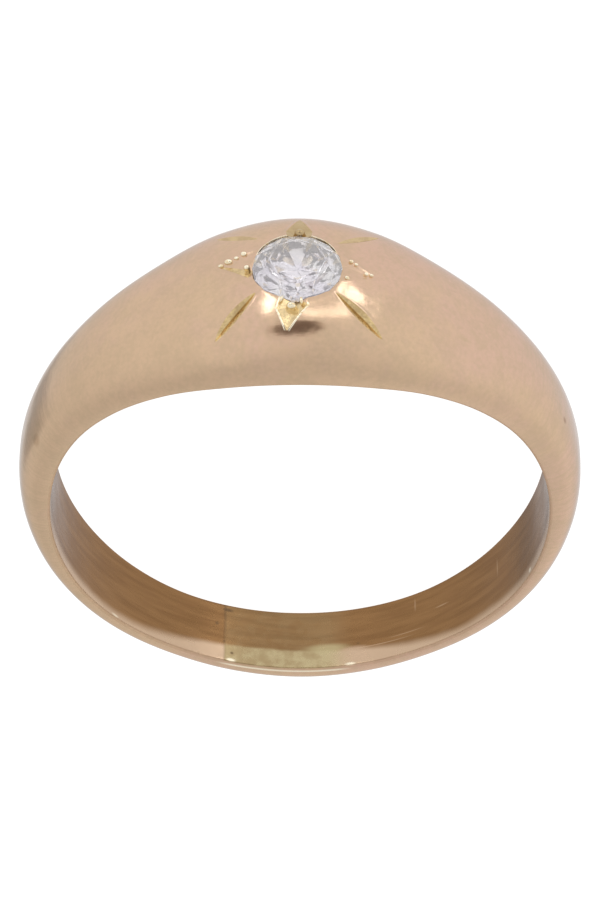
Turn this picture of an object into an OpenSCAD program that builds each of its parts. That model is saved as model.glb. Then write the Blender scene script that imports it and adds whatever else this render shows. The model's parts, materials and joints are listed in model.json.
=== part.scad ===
// Flush set gypsy ring: one gold band with a domed crown and a round brilliant sunk into it.
// The ring lies on its side on the plane z = 0, with its crown towards -Y.
// All lengths are in millimetres and all angles in degrees.

/* [Band] */
// Inside diameter of the finger hole
bore_d = 18.5; // [15:0.1:22]
// Width of the band along the finger, across the crown
head_w = 7.6; // [6.6:0.1:9.5]
// Width of the band along the finger, at the back
shank_w = 2.9; // [2:0.1:4.5]
// Wall at the middle of the crown
head_t = 2.25; // [2.15:0.05:3]
// Wall at the thinnest stretch of the shank
shank_t = 0.8; // [0.6:0.05:1.4]
// Worn bevel along both edges of the finger hole
edge_bevel = 0.1; // [0.04:0.01:0.2]
// Squareness of the domed section at the crown, where 2 is an ellipse
head_square = 2.2; // [2:0.05:2.8]
// Squareness of the domed section at the back
back_square = 3; // [2:0.05:4]

/* [Stone] */
// Girdle diameter of the brilliant
stone_d = 3.2; // [2.8:0.05:3.5]
// Diameter across the corners of its table
table_d = 1.9; // [1.6:0.05:2]
// Height of its crown, from girdle to table
crown_h = 0.48; // [0.4:0.01:0.54]
// Height of its girdle
girdle_h = 0.08; // [0.04:0.01:0.12]
// Depth of its pavilion, from girdle to culet
pavilion_h = 1.38; // [1.2:0.01:1.5]
// Height of the stone's table above the top of the dome
table_proud = 0.27; // [0.1:0.01:0.3]

/* [Setting] */
// Gap all round between the stone and its seat
seat_gap = 0.06; // [0.03:0.01:0.1]
// Drilled hole under the stone
pilot_d = 1.6; // [1:0.1:2]
// Diameter of a raised grain
grain_d = 0.36; // [0.3:0.02:0.44]
// How far a grain's middle stands back from the wall of the opening
grain_set_back = 0.03; // [0:0.01:0.06]
// How far a grain's middle stands over the dome
grain_stand = 0.05; // [0:0.01:0.1]

/* [Engraving] */
// Length of the longest star ray, from the rim of the opening
ray_l = 1.34; // [1.1:0.02:1.6]
// Width of a star ray across its shoulders
ray_w = 0.96; // [0.7:0.02:1.2]
// Width of a star ray at the rim of the opening, between its two grains
ray_neck = 0.56; // [0.4:0.02:0.7]
// Depth of a star ray at the stone
ray_depth = 0.26; // [0.14:0.02:0.34]
// Distance of a star ray's shoulders from the rim of the opening
ray_shoulder = 0.32; // [0.2:0.02:0.5]
// How far out the slanting slits end, from the rim of the opening
slit_reach = 2.4; // [1.8:0.05:2.6]
// Widest part of a slanting slit
slit_w = 0.42; // [0.25:0.01:0.6]
// Deepest part of a slanting slit
slit_depth = 0.14; // [0.08:0.01:0.2]

/* [Hidden] */

bore_r = bore_d / 2;
crest_r = bore_r + head_t;
stone_r = stone_d / 2;
table_r = table_d / 2;
opening_r = stone_r + seat_gap;
grain_r = grain_d / 2;

// Half of the band's outline, every ROW_STEP degrees from the middle of the crown to the back.
// Columns: share of the width that the crown has over the back,
//          share of the wall that the crown has over the thinnest shank.
ROW_STEP = 15;
WIDER = 0;
THICKER = 1;
OUTLINE = [
    [1.00, 1.00],
    [0.93, 0.73],
    [0.72, 0.42],
    [0.49, 0.40],
    [0.29, 0.41],
    [0.18, 0.36],
    [0.16, 0.25],
    [0.15, 0.12],
    [0.12, 0.02],
    [0.06, 0.00],
    [0.01, 0.00],
    [0.00, 0.05],
    [0.00, 0.10]
];

// Star rays, cut by hand at the four quarters of the stone.
// Columns: direction about the stone, with 0 along +X and 90 up the finger;
//          share of the longest ray's length.
RAYS = [
    [-12, 1.00],
    [82, 0.80],
    [180, 0.86],
    [268, 0.95]
];

// Slanting slits between the rays.
// Columns: direction about the stone at the start and at the end;
//          start and end as shares of the slits' reach.
SLITS = [
    [37, 40, 0.07, 0.99],
    [140, 142, 0.05, 1.01],
    [223, 219, 0.14, 0.98],
    [311, 322, 0.22, 0.96]
];

STATIONS = 96;
DOME_STEPS = 18;
SLIT_STEPS = 10;
// How far cutters and hidden faces run past what they cut
PAST = 0.3;
// Width and depth of a cut at its tip, as a share of its largest
TIP_SHARE = 0.04;
// Short step on the dome, over which its directions are measured
NEAR = 0.02;

// Outline rows are mirrored at both ends, and a smooth curve runs through them
function row(i, column) =
    let (last = len(OUTLINE) - 1, k = i < 0 ? -i : i > last ? 2 * last - i : i)
    OUTLINE[k][column];
function through(p0, p1, p2, p3, t) =
    p1 + t / 2 * (p2 - p0 + t * (2 * p0 - 5 * p1 + 4 * p2 - p3 + t * (3 * (p1 - p2) + p3 - p0)));
function share(angle, column) =
    let (u = abs(angle) / ROW_STEP, i = min(floor(u), len(OUTLINE) - 2))
    through(row(i - 1, column), row(i, column), row(i + 1, column), row(i + 2, column), u - i);

// Size of the band's section at an angle round the finger, 0 at the crown, from -180 to 180
function half_w(angle) = (shank_w + (head_w - shank_w) * share(angle, WIDER)) / 2;
function wall(angle) = shank_t + (head_t - shank_t) * share(angle, THICKER);
function square(angle) = head_square + (back_square - head_square) * (1 - cos(angle)) / 2;

// A point of the upright ring, whose finger hole runs along Z through the origin
function about_finger(angle, r, along) = [r * sin(angle), -r * cos(angle), along];

// Radius of the domed surface, at a distance from the middle of the band along the finger
function dome_r(angle, along) =
    let (s = min(abs(along) / half_w(angle), 1), n = square(angle))
    bore_r + edge_bevel + (wall(angle) - edge_bevel) * pow(1 - pow(s, n), 1 / n);

// The section at one angle, as [along, radius] from one bevel over the dome to the other
function section(angle) =
    let (h = half_w(angle), t = wall(angle), n = square(angle), low = bore_r - PAST)
    concat(
        [[-h + edge_bevel + PAST, low]],
        [for (i = [0 : DOME_STEPS])
            let (q = -90 + 180 * i / DOME_STEPS)
            [
                h * sign(q) * pow(abs(sin(q)), 2 / n),
                bore_r + edge_bevel + (t - edge_bevel) * pow(abs(cos(q)), 2 / n)
            ]],
        [[h - edge_bevel - PAST, low]]
    );

// Places on the dome about the stone: a direction, and a distance along the metal from its axis
function dome_angle(dir, reach) = reach * cos(dir) / crest_r * 180 / PI;
function on_dome(dir, reach) =
    let (angle = dome_angle(dir, reach), along = reach * sin(dir))
    about_finger(angle, dome_r(angle, along), along);
function unit(v) = v / norm(v);
function dome_normal(dir, reach) =
    let (
        out = on_dome(dir, reach + NEAR) - on_dome(dir, reach - NEAR),
        turn = NEAR / reach * 180 / PI,
        round = on_dome(dir + turn, reach) - on_dome(dir - turn, reach)
    )
    unit(cross(out, round));

// One section of a V-shaped cut that runs towards the point ahead:
// two corners raised over the dome and the bottom under it
function v_section(dir, reach, ahead, w, depth) =
    let (
        p = on_dome(dir, reach),
        up = dome_normal(dir, reach),
        side = unit(cross(up, ahead - p)),
        spread = w / 2 * (depth + PAST) / depth
    )
    [p + up * PAST + side * spread, p + up * PAST - side * spread, p - up * depth];

// Closed surface over equal rings of points, with flat ends
module loft(rings) {
    n = len(rings[0]);
    last = len(rings) - 1;
    points = [for (ring = rings) for (p = ring) p];
    walls = [for (i = [0 : last - 1]) for (j = [0 : n - 1])
        let (a = i * n + j, b = i * n + (j + 1) % n)
        each [[a, b, b + n], [a, b + n, a + n]]];
    ends = [[for (j = [n - 1 : -1 : 0]) j], [for (j = [0 : n - 1]) last * n + j]];
    polyhedron(points, concat(walls, ends));
}

// The band before the finger hole, the seat and the engraving are cut
module band_blank() {
    n = DOME_STEPS + 3;
    points = [for (i = [0 : STATIONS - 1])
        let (angle = -180 + 360 * i / STATIONS)
        for (q = section(angle)) about_finger(angle, q[1], q[0])];
    faces = [for (i = [0 : STATIONS - 1]) for (j = [0 : n - 1])
        let (
            a = i * n + j,
            b = i * n + (j + 1) % n,
            c = ((i + 1) % STATIONS) * n + (j + 1) % n,
            d = ((i + 1) % STATIONS) * n + j
        )
        each [[a, b, c], [a, c, d]]];
    polyhedron(points, faces);
}

module finger_hole() {
    cylinder(r = bore_r, h = head_w + 2 * PAST, center = true, $fn = 180);
}

// Heights along the stone's axis, from the middle of the finger hole
table_z = crest_r + table_proud;
girdle_top = table_z - crown_h;
girdle_low = girdle_top - girdle_h;
culet_z = girdle_low - pavilion_h;
pavilion_slope = pavilion_h / stone_r;
seat_z = girdle_low - seat_gap / 2;

// Round brilliant: MAINS facets above and below, with stars and girdle facets between them.
// Shares: how far the stars reach down the crown, and the lower girdle facets down the pavilion.
MAINS = 8;
STAR_SHARE = 0.5;
LOWER_SHARE = 0.19;
function ring_point(i, r, z) = [r * cos(i * 180 / MAINS), r * sin(i * 180 / MAINS), z];

module on_stone_axis() {
    rotate([90, 0, 0]) children();
}

// Round opening, conical seat under the pavilion and the drilled hole below it
module stone_seat() {
    pilot_r = pilot_d / 2;
    cone_low = seat_z - (opening_r - pilot_r) * pavilion_slope;
    on_stone_axis()
        rotate_extrude($fn = 96)
            polygon([
                [0, bore_r - PAST],
                [pilot_r, bore_r - PAST],
                [pilot_r, cone_low],
                [opening_r, seat_z],
                [opening_r, crest_r + PAST],
                [0, crest_r + PAST]
            ]);
}

// A ray runs from its tip over its shoulders into the opening, and deepens all the way
module star_ray(dir, length_share) {
    tip = opening_r + ray_l * length_share;
    shoulder = opening_r + ray_shoulder;
    inner = opening_r - PAST;
    falls = ray_depth / (tip - opening_r);
    ahead = on_dome(dir, tip + PAST);
    loft([
        v_section(dir, tip, ahead, ray_w * TIP_SHARE, ray_depth * TIP_SHARE),
        v_section(dir, shoulder, ahead, ray_w, (tip - shoulder) * falls),
        v_section(dir, opening_r, ahead, ray_neck, ray_depth),
        v_section(dir, inner, ahead, ray_neck, (tip - inner) * falls)
    ]);
}

// A slit widens and deepens like a lens between its two ends
function between(from, to, u) = from + (to - from) * u;
module slit(start_dir, end_dir, start_share, end_share) {
    ahead = on_dome(between(start_dir, end_dir, 1 + PAST),
                    opening_r + slit_reach * between(start_share, end_share, 1 + PAST));
    loft([for (i = [SLIT_STEPS : -1 : 0])
        let (
            u = i / SLIT_STEPS,
            lens = between(TIP_SHARE, 1, sin(180 * u)),
            dir = between(start_dir, end_dir, u),
            reach = opening_r + slit_reach * between(start_share, end_share, u)
        )
        v_section(dir, reach, ahead, slit_w * lens, slit_depth * lens)]);
}

// A grain stands on the dome beside the neck of its ray and leans over the edge of the stone
grain_reach = opening_r + grain_set_back;
grain_turn = asin((ray_neck + grain_r) / 2 / grain_reach);
GRAIN_DIRS = [for (ray = RAYS) for (side = [-1, 1]) ray[0] + side * grain_turn];
GRAIN_MIDDLES = [for (dir = GRAIN_DIRS)
    on_dome(dir, grain_reach) + grain_stand * dome_normal(dir, grain_reach)];

// Room over the girdle that the stone's crown needs, with the seat's gap all round
crown_run = stone_r - table_r;
crown_out = seat_gap * [crown_h, crown_run] / norm([crown_run, crown_h]);
module crown_room() {
    on_stone_axis()
        rotate_extrude($fn = 96)
            polygon([
                [0, girdle_low],
                [opening_r, girdle_low],
                [opening_r, girdle_top],
                [stone_r, girdle_top] + crown_out,
                [table_r, table_z] + crown_out,
                [0, table_z + seat_gap]
            ]);
}

module grains() {
    difference() {
        for (middle = GRAIN_MIDDLES) translate(middle) sphere(r = grain_r, $fn = 24);
        crown_room();
    }
}

// Ring upright to ring at rest: it leans on the crown's lower edge and on the back's
rest_tilt = atan((head_w - shank_w) / 2 / (2 * (bore_r + edge_bevel)));
function at_rest(p) = [
    p[0],
    p[1] * cos(rest_tilt) + p[2] * sin(rest_tilt),
    p[2] * cos(rest_tilt) - p[1] * sin(rest_tilt)
];
METAL_AT_REST = [for (i = [0 : STATIONS - 1])
    let (angle = -180 + 360 * i / STATIONS)
    for (q = section(angle))
        let (p = about_finger(angle, q[1], q[0]))
        if (p[1] > 0 || norm([p[0], p[2]]) > opening_r) at_rest(p)];
TABLE_AT_REST = [for (k = [0 : MAINS - 1])
    let (p = ring_point(2 * k, table_r, 0)) at_rest([p[0], -table_z, p[1]])];
GRAINS_AT_REST = [for (middle = GRAIN_MIDDLES) at_rest(middle)];
rest_low = min([for (p = METAL_AT_REST) p[2]]);
rest_front = min(concat(
    [for (p = METAL_AT_REST) p[1]],
    [for (p = TABLE_AT_REST) p[1]],
    [for (p = GRAINS_AT_REST) p[1] - grain_r]
));
rest_back = max([for (p = METAL_AT_REST) p[1]]);

module lie_on_side() {
    translate([0, -(rest_front + rest_back) / 2, -rest_low])
        rotate([-rest_tilt, 0, 0])
            children();
}

module ring_band() {
    color([0.84, 0.70, 0.56])
        lie_on_side()
            union() {
                difference() {
                    band_blank();
                    finger_hole();
                    stone_seat();
                    for (ray = RAYS) star_ray(ray[0], ray[1]);
                    for (s = SLITS) slit(s[0], s[1], s[2], s[3]);
                }
                grains();
            }
}

module brilliant() {
    half_step = 180 / MAINS;
    star_z = girdle_top + crown_h * (1 - STAR_SHARE);
    star_r = (stone_r - crown_run * (1 - STAR_SHARE)) / cos(half_step);
    lower_z = girdle_low - pavilion_h * LOWER_SHARE;
    lower_r = stone_r * (1 - LOWER_SHARE) / cos(half_step);
    table = [for (k = [0 : MAINS - 1]) ring_point(2 * k, table_r, table_z)];
    stars = [for (k = [0 : MAINS - 1]) ring_point(2 * k + 1, star_r, star_z)];
    upper = [for (i = [0 : 2 * MAINS - 1]) ring_point(i, stone_r, girdle_top)];
    under = [for (i = [0 : 2 * MAINS - 1]) ring_point(i, stone_r, girdle_low)];
    lowers = [for (k = [0 : MAINS - 1]) ring_point(2 * k + 1, lower_r, lower_z)];
    T = 0;
    S = MAINS;
    U = 2 * MAINS;
    D = 4 * MAINS;
    L = 6 * MAINS;
    CULET = 7 * MAINS;
    points = concat(table, stars, upper, under, lowers, [[0, 0, culet_z]]);
    faces = concat(
        [[for (k = [MAINS - 1 : -1 : 0]) T + k]],
        [for (k = [0 : MAINS - 1])
            let (next = (k + 1) % MAINS, mid = 2 * k + 1, after = (2 * k + 2) % (2 * MAINS))
            each [
                [T + k, T + next, S + k],
                [T + next, S + next, U + after, S + k],
                [S + k, U + mid, U + 2 * k],
                [S + k, U + after, U + mid],
                [U + 2 * k, U + mid, D + mid, D + 2 * k],
                [U + mid, U + after, D + after, D + mid],
                [D + 2 * k, D + mid, L + k],
                [D + mid, D + after, L + k],
                [D + after, L + next, CULET, L + k]
            ]]
    );
    polyhedron(points, faces);
}

module stone() {
    color([0.88, 0.88, 0.95])
        lie_on_side()
            on_stone_axis()
                brilliant();
}

ring_band();
stone();
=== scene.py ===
"""Looks of the flush set gypsy ring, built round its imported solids.

Shapes are worked out in millimetres on the upright ring: its finger hole runs along Z through
the origin, and its crown points to -Y. They are then laid on their side, in metres, where the
solids lie. A place about the stone is a direction, with 0 along +X and 90 along +Z, and a reach,
its distance from the stone's axis on a flat map that is rolled round the finger.
"""
import json
import math
from collections import namedtuple

import bmesh
import bpy
import numpy as np
from mathutils import Matrix, Vector


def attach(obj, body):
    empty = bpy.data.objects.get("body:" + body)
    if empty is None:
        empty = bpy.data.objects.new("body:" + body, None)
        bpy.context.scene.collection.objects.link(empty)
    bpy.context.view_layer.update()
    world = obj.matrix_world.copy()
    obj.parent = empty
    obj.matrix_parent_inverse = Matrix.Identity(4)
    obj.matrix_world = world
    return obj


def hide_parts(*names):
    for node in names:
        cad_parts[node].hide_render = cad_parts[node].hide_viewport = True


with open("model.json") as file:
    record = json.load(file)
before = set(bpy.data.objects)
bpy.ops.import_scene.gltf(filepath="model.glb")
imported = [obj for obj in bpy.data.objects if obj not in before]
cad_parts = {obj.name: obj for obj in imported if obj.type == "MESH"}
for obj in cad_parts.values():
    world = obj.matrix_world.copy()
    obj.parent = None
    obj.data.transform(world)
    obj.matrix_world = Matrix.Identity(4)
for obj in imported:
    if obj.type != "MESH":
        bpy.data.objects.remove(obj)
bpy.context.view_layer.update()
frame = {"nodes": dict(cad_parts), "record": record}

MM = 0.001
DEGREES = 180 / math.pi
BORE = next(m for m in frame["record"]["mounts"] if m["name"] == "finger_bore")

# Driving sizes of the band, as in its solid
BORE_R = BORE["dims"]["r_mm"]
HEAD_W = 7.6
SHANK_W = 2.9
HEAD_T = 2.25
SHANK_T = 0.8
EDGE_BEVEL = 0.1
# Exponents of the section's outline at the crown and at the back: 2 is round, more is squarer
HEAD_SQUARE = 2.2
BACK_SQUARE = 3.0
CREST_R = BORE_R + HEAD_T
# Radius that the flat map about the stone is rolled to
MAP_R = 11.3

# Half of the band's outline, every ROW_STEP degrees from the crown to the back.
# Columns: share of the width that the crown has over the back,
#          share of the wall that the crown has over the thinnest shank.
ROW_STEP = 15
OUTLINE = np.array([
    [1.00, 1.00],
    [0.93, 0.73],
    [0.72, 0.42],
    [0.49, 0.40],
    [0.29, 0.41],
    [0.18, 0.36],
    [0.16, 0.25],
    [0.15, 0.12],
    [0.12, 0.02],
    [0.06, 0.00],
    [0.01, 0.00],
    [0.00, 0.05],
    [0.00, 0.10],
])
WIDER, THICKER = 0, 1

# The stone, from its table down, and the seat under it
STONE_R = 1.6
TABLE_H = CREST_R + 0.27
CROWN_H = 0.48
GIRDLE_H = 0.08
PAVILION_H = 1.38
GIRDLE_LOW = TABLE_H - CROWN_H - GIRDLE_H
SEAT_GAP = 0.06
SEAT_R = STONE_R + 0.015
PILOT_R = 0.8

# Rim of the opening, how far the metal is burnished over the stone where it reaches furthest,
# and how much wider the opening is on the far side, where its sloping wall shows
RIM_R = STONE_R + 0.01
OVERHANG = 0.055
FAR_OPEN = 0.02
# Sides of the stone: near is +Z, right is -X and far is -Z. How straight a direction points at a
# side, from 0 to 1, where that side starts and where it is full
NEAR_SIDE = (0.2, 0.8)
RIGHT_SIDE = (0.3, 0.9)
FAR_SIDE = (0.3, 0.8)
# Depths under the rim of its own edge, of the slope below it on the near side, how much deeper
# that is on the far side, and the least height of the wall below the slope
RIM_EDGE = 0.012
SLOPE = 0.03
FAR_SLOPE = 0.04
LEAST_WALL = 0.01
# Ridge pressed up round the rim: height, middle from the rim and width, its share on the cuts,
# the exponent that ends it at the outermost ring, and how much higher it is on the far side
RIDGE = 0.006
RIDGE_MIDDLE = 0.10
RIDGE_WIDTH = 0.13
RIDGE_ON_CUTS = 0.3
RIDGE_END = 6
FAR_RIDGE = 0.02
FAR_RIDGE_SIDE = (0.2, 0.7)
# The far side's first few rings get the pale finish's painted highlight between these directions
RIM_HIGHLIGHT_RINGS = 3
RIM_HIGHLIGHT_SPANS = [(205, 262), (274, 338)]

# Finishes of the gold. BRIGHT is the pale finish, whose colour is a painted highlight
BAND, CUT, BRIGHT = 0, 1, 2

# Cuts about the stone, in order of direction. Directions are at the start and at the end, which
# lie at distances from the rim. Below is the side of smaller directions and above that of larger
# ones: each has its widest half width, and a ray has it at a shoulder's distance from the start.
# Deepest is the place of the deepest line across. Polish says what is cut bright: BELOW, ABOVE
# and LIPS, the ridges along the edges, added up. BELOW and ABOVE take the cut finish, and LIPS the
# pale finish, whose colour is a painted highlight.
BELOW, ABOVE, LIPS = 1, 2, 4
Cut = namedtuple("Cut", [
    "is_ray", "start_direction", "end_direction", "start", "end", "below", "above",
    "shoulder_below", "shoulder_above", "deepest", "depth", "polish",
])
CUTS = [
    Cut(True, -12, -12.5, 0.00, 1.40, 0.64, 0.70, 0.00, 0.00, 0.26, 0.13, ABOVE),
    Cut(False, 37, 40, 0.21, 2.44, 0.21, 0.21, 0.00, 0.00, -0.08, 0.14, BELOW + ABOVE),
    Cut(True, 86, 82.2, 0.00, 1.14, 0.50, 0.50, 0.43, 0.05, 0.04, 0.20, BELOW + ABOVE + LIPS),
    Cut(False, 140, 142, 0.16, 2.47, 0.20, 0.20, 0.00, 0.00, 0.06, 0.14, BELOW + ABOVE),
    Cut(True, 180, 180, 0.00, 1.18, 0.50, 0.62, 0.00, 0.00, 0.10, 0.03, 0),
    Cut(False, 223, 219, 0.38, 2.40, 0.13, 0.13, 0.00, 0.00, 0.00, 0.10, BELOW + ABOVE),
    Cut(True, 268, 268.4, 0.00, 1.25, 0.46, 0.46, 0.25, 0.25, 0.00, 0.22, BELOW + ABOVE),
    Cut(False, 311, 322, 0.57, 2.34, 0.13, 0.13, 0.00, 0.00, 0.00, 0.10, BELOW + ABOVE),
]
# Share of its widest half width that a ray has at its start
RAY_NECK = 0.92
# Exponent of a slit's width from tip to tip, half width left at a cut's tip, and how much the
# grid spreads with the distance past it
SLIT_FULLNESS = 0.8
TIP = 0.012
PAST_TIP = 0.12
# Lips thrown up along the cuts: their width, their height on rays and on slits, the exponent of
# a slit's lip from tip to tip, and on a ray the length in which it rises, its share at the start
# and the length in which it runs out at the tip
LIP = 0.08
RAY_LIP = 0.018
SLIT_LIP = 0.005
SLIT_LIP_FULLNESS = 0.5
LIP_RISE = 0.1
LIP_AT_START = 0.6
LIP_RUN_OUT = 0.3

# Raised grains and beads. Columns: direction, reach, radius, stretch along the direction, lift,
# finish. The BRIGHT finish gives a grain a painted highlight.
GRAINS = [
    (-25, 2.11, 0.10, 1.2, 0.02, BRIGHT),
    (-15.9, 2.60, 0.11, 1.5, 0.00, BRIGHT),
    (-12.5, 2.86, 0.07, 1.5, 0.00, BRIGHT),
    (-4.7, 1.80, 0.10, 1.1, 0.01, BRIGHT),
    (-20, 2.34, 0.07, 1.5, 0.00, BRIGHT),
    (71.5, 1.69, 0.06, 2.3, 0.09, BRIGHT),
    (95, 1.69, 0.06, 2.3, 0.09, BRIGHT),
    (84, 1.85, 0.18, 0.85, -0.03, BRIGHT),
    (168, 1.80, 0.08, 1.2, 0.00, BRIGHT),
    (193.7, 1.97, 0.07, 1.2, 0.03, BRIGHT),
    (190.3, 2.13, 0.06, 1.2, 0.03, BRIGHT),
    (180.7, 2.47, 0.07, 1.2, 0.03, BRIGHT),
    (181.2, 2.67, 0.06, 1.4, 0.02, BRIGHT),
    (267.6, 1.85, 0.19, 0.9, -0.11, CUT),
]
# How much further each grain's lower half goes down, as its root in the metal
ROOT = 0.22
GRAIN_SUBDIVISIONS = 3


def lay_down():
    """Upright millimetres to the row's frame in metres, from the finger hole's axis."""
    finger = Vector(BORE["axis"]).normalized()
    across = Vector((1, 0, 0))
    back = finger.cross(across)
    turn = Matrix((across, back, finger)).transposed().to_4x4()
    return Matrix.Translation(BORE["pos_m"]) @ turn @ Matrix.Scale(MM, 4)


LAID = lay_down()


# The band's outline

def share(angle, column):
    """Smooth curve through one column of OUTLINE, mirrored at the crown and at the back."""
    rows = OUTLINE[:, column]
    last = len(rows) - 1
    u = np.abs(angle) / ROW_STEP
    i = np.minimum(np.floor(u).astype(int), last - 1)
    t = u - i

    def row(k):
        return rows[np.where(k < 0, -k, np.where(k > last, 2 * last - k, k))]

    a, b, c, d = row(i - 1), row(i), row(i + 1), row(i + 2)
    return b + t / 2 * (c - a + t * (2 * a - 5 * b + 4 * c - d + t * (3 * (b - c) + d - a)))


def from_crown(angle):
    """The same angle round the finger, from -180 to 180."""
    return (np.asarray(angle, float) + 180) % 360 - 180


def half_w(angle):
    """Half the band's width."""
    return (SHANK_W + (HEAD_W - SHANK_W) * share(from_crown(angle), WIDER)) / 2


def wall(angle):
    """Thickness of the band at its middle."""
    return SHANK_T + (HEAD_T - SHANK_T) * share(from_crown(angle), THICKER)


def square(angle):
    """Exponent of the section's outline."""
    return HEAD_SQUARE + (BACK_SQUARE - HEAD_SQUARE) * (1 - np.cos(np.radians(angle))) / 2


def about_finger(angle, r, along):
    """Points at an angle round the finger from the crown, a radius and a place along the finger."""
    a = np.radians(angle)
    return np.stack(np.broadcast_arrays(r * np.sin(a), -r * np.cos(a), along), -1)


def dome_point(angle, q):
    """Point of the dome at an angle round the finger and a slope q, from -90 to 90 across it."""
    n = square(angle)
    s = np.sin(np.radians(q))
    c = np.cos(np.radians(q))
    along = half_w(angle) * np.sign(s) * np.abs(s) ** (2 / n)
    r = BORE_R + EDGE_BEVEL + (wall(angle) - EDGE_BEVEL) * np.abs(c) ** (2 / n)
    return about_finger(angle, r, along)


def from_flat(u, v):
    """A place of the flat map about the stone, as an angle round the finger and a slope."""
    angle = np.degrees(u / MAP_R)
    s = np.clip(np.abs(v) / half_w(angle), 0, 1)
    return angle, np.sign(v) * np.degrees(np.arcsin(s ** (square(angle) / 2)))


def unit(v):
    return v / np.linalg.norm(v, axis=-1, keepdims=True)


def flat_frame(u, v):
    """Place on the dome, and the directions there along u, along v and out of the metal."""
    step = 0.01

    def at(du, dv):
        return dome_point(*from_flat(u + du, v + dv))

    along_u = unit(at(step, 0) - at(-step, 0))
    along_v = unit(at(0, step) - at(0, -step))
    up = unit(np.cross(along_v, along_u))
    up = up * np.where(np.sum(up * at(0, 0), -1, keepdims=True) < 0, -1, 1)
    return at(0, 0), along_u, along_v, up


# The crown's grid: rings about the stone, whose columns follow the edges of every cut

LIP_COLUMNS = 3
HALF_RAY_COLUMNS = 7
HALF_SLIT_COLUMNS = 4
GAP_COLUMNS = 20
# A cut's knots are its outer lip, edge, deepest line, edge and outer lip
KNOTS = 5
KNOT_TRIES = 8
# Distances of the first rings from the rim, and how many more follow the cuts
RIM_RINGS = np.array([0, 0.012, 0.026, 0.042, 0.06, 0.082, 0.108, 0.14])
OVAL_RINGS = 52
# The last of them is a squarish oval: half its size along X and along Z, and its exponent
OVAL_X = 4.0
OVAL_Z = 3.25
OVAL_SQUARE = 4
# Rings from the oval to the crown's boundary, which lies CROWN_HALF degrees each way
OUTER_RINGS = 20
CROWN_HALF = 24.0
# Shares of the way down the seat's cone and down the drilled hole, and rings over the finger
# hole's side
CONE_STEPS = (0.4, 0.7, 1.0)
PILOT_STEPS = (0.33, 0.67, 1.0)
BORE_RINGS = 12


def half_columns(cut):
    return HALF_RAY_COLUMNS if cut.is_ray else HALF_SLIT_COLUMNS


def column_plan():
    """Columns between one knot and the next, over all cuts in turn."""
    plan = []
    for cut in CUTS:
        plan += [LIP_COLUMNS, half_columns(cut), half_columns(cut), LIP_COLUMNS, GAP_COLUMNS]
    return plan


COLUMNS = sum(column_plan())
SIDE_COLUMNS = COLUMNS // 4


def oval_reach(direction):
    """Reach of the outermost ring that follows the cuts."""
    c = np.abs(np.cos(direction)) / OVAL_X
    s = np.abs(np.sin(direction)) / OVAL_Z
    return (c ** OVAL_SQUARE + s ** OVAL_SQUARE) ** (-1 / OVAL_SQUARE)


def smooth(value, low, high):
    """0 up to low, 1 from high, and a smooth step between them."""
    t = np.clip((value - low) / (high - low), 0, 1)
    return t * t * (3 - 2 * t)


def rim_reach(direction):
    """Reach of the rim: over the stone towards +Z and -X, and clear of it towards -Z."""
    near = smooth(np.sin(direction), *NEAR_SIDE)
    right = smooth(-np.cos(direction), *RIGHT_SIDE)
    far = smooth(-np.sin(direction), *FAR_SIDE)
    return RIM_R - OVERHANG * np.maximum(near, right) * (1 - far) + FAR_OPEN * far


def ring_reach(direction, k):
    """Reach of ring k: the first few lie close to the rim, the rest spread out to the oval."""
    rim = rim_reach(direction)
    if k < len(RIM_RINGS):
        return rim + RIM_RINGS[k]
    near = RIM_RINGS[-1]
    t = (k - len(RIM_RINGS) + 1) / OVAL_RINGS
    return rim + near + (oval_reach(direction) - rim - near) * t


def flat(direction, reach):
    """Places on the flat map about the stone."""
    return np.stack([reach * np.cos(direction), reach * np.sin(direction)], -1)


def cut_axis(cut):
    """Start of a cut on the flat map, the direction towards its end, and its length."""
    a = flat(math.radians(cut.start_direction), RIM_R + cut.start)
    b = flat(math.radians(cut.end_direction), RIM_R + cut.end)
    length = np.linalg.norm(b - a)
    return a, (b - a) / length, length


def ray_width(a, length, shoulder):
    """Share of a ray's half width: from its neck to its shoulder, then straight to its tip."""
    to_tip = np.clip((length - a) / (length - shoulder), 0, 1)
    if shoulder == 0:
        return to_tip
    neck = RAY_NECK + (1 - RAY_NECK) * np.clip(a / shoulder, 0, 1)
    return np.where(a < shoulder, neck, to_tip)


def cut_widths(cut, a, length):
    """Half widths on both sides, deepest line and depth of a cut, at distances a along it."""
    u = np.clip(a / length, 0, 1)
    if cut.is_ray:
        past = np.maximum(a - length, 0)
        low = cut.below * ray_width(a, length, cut.shoulder_below)
        high = cut.above * ray_width(a, length, cut.shoulder_above)
        deep = 1 - u
    else:
        past = np.maximum(np.maximum(-a, a - length), 0)
        deep = np.sin(np.pi * u) ** SLIT_FULLNESS
        low = cut.below * deep
        high = cut.above * deep
    spare = TIP + PAST_TIP * past
    return low + spare, high + spare, cut.deepest * deep, cut.depth * np.where(past > 0, 0, deep)


def knot_directions(cut, k):
    """Directions of the cut's knots at ring k, each found by a few steps towards its place."""
    start, ahead, length = cut_axis(cut)
    aside = np.array([-ahead[1], ahead[0]])
    first = math.radians((cut.start_direction + cut.end_direction) / 2)
    found = []
    for knot in range(KNOTS):
        direction = np.array(first)
        for _ in range(KNOT_TRIES):
            place = flat(direction, ring_reach(direction, k)) - start
            low, high, deepest, _depth = cut_widths(cut, place @ ahead, length)
            target = (-low - LIP, -low, deepest, high, high + LIP)[knot]
            direction = direction + (target - place @ aside) / ring_reach(direction, k)
        found.append(float(direction))
    return found


def ring_directions(k):
    """Directions of ring k's columns, spread evenly between one knot and the next."""
    knots = []
    for cut in CUTS:
        knots += knot_directions(cut, k)
    knots.append(knots[0] + 2 * math.pi)
    starts = np.concatenate([[0], np.cumsum(column_plan())])
    return np.interp(np.arange(COLUMNS), starts, knots)


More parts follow.
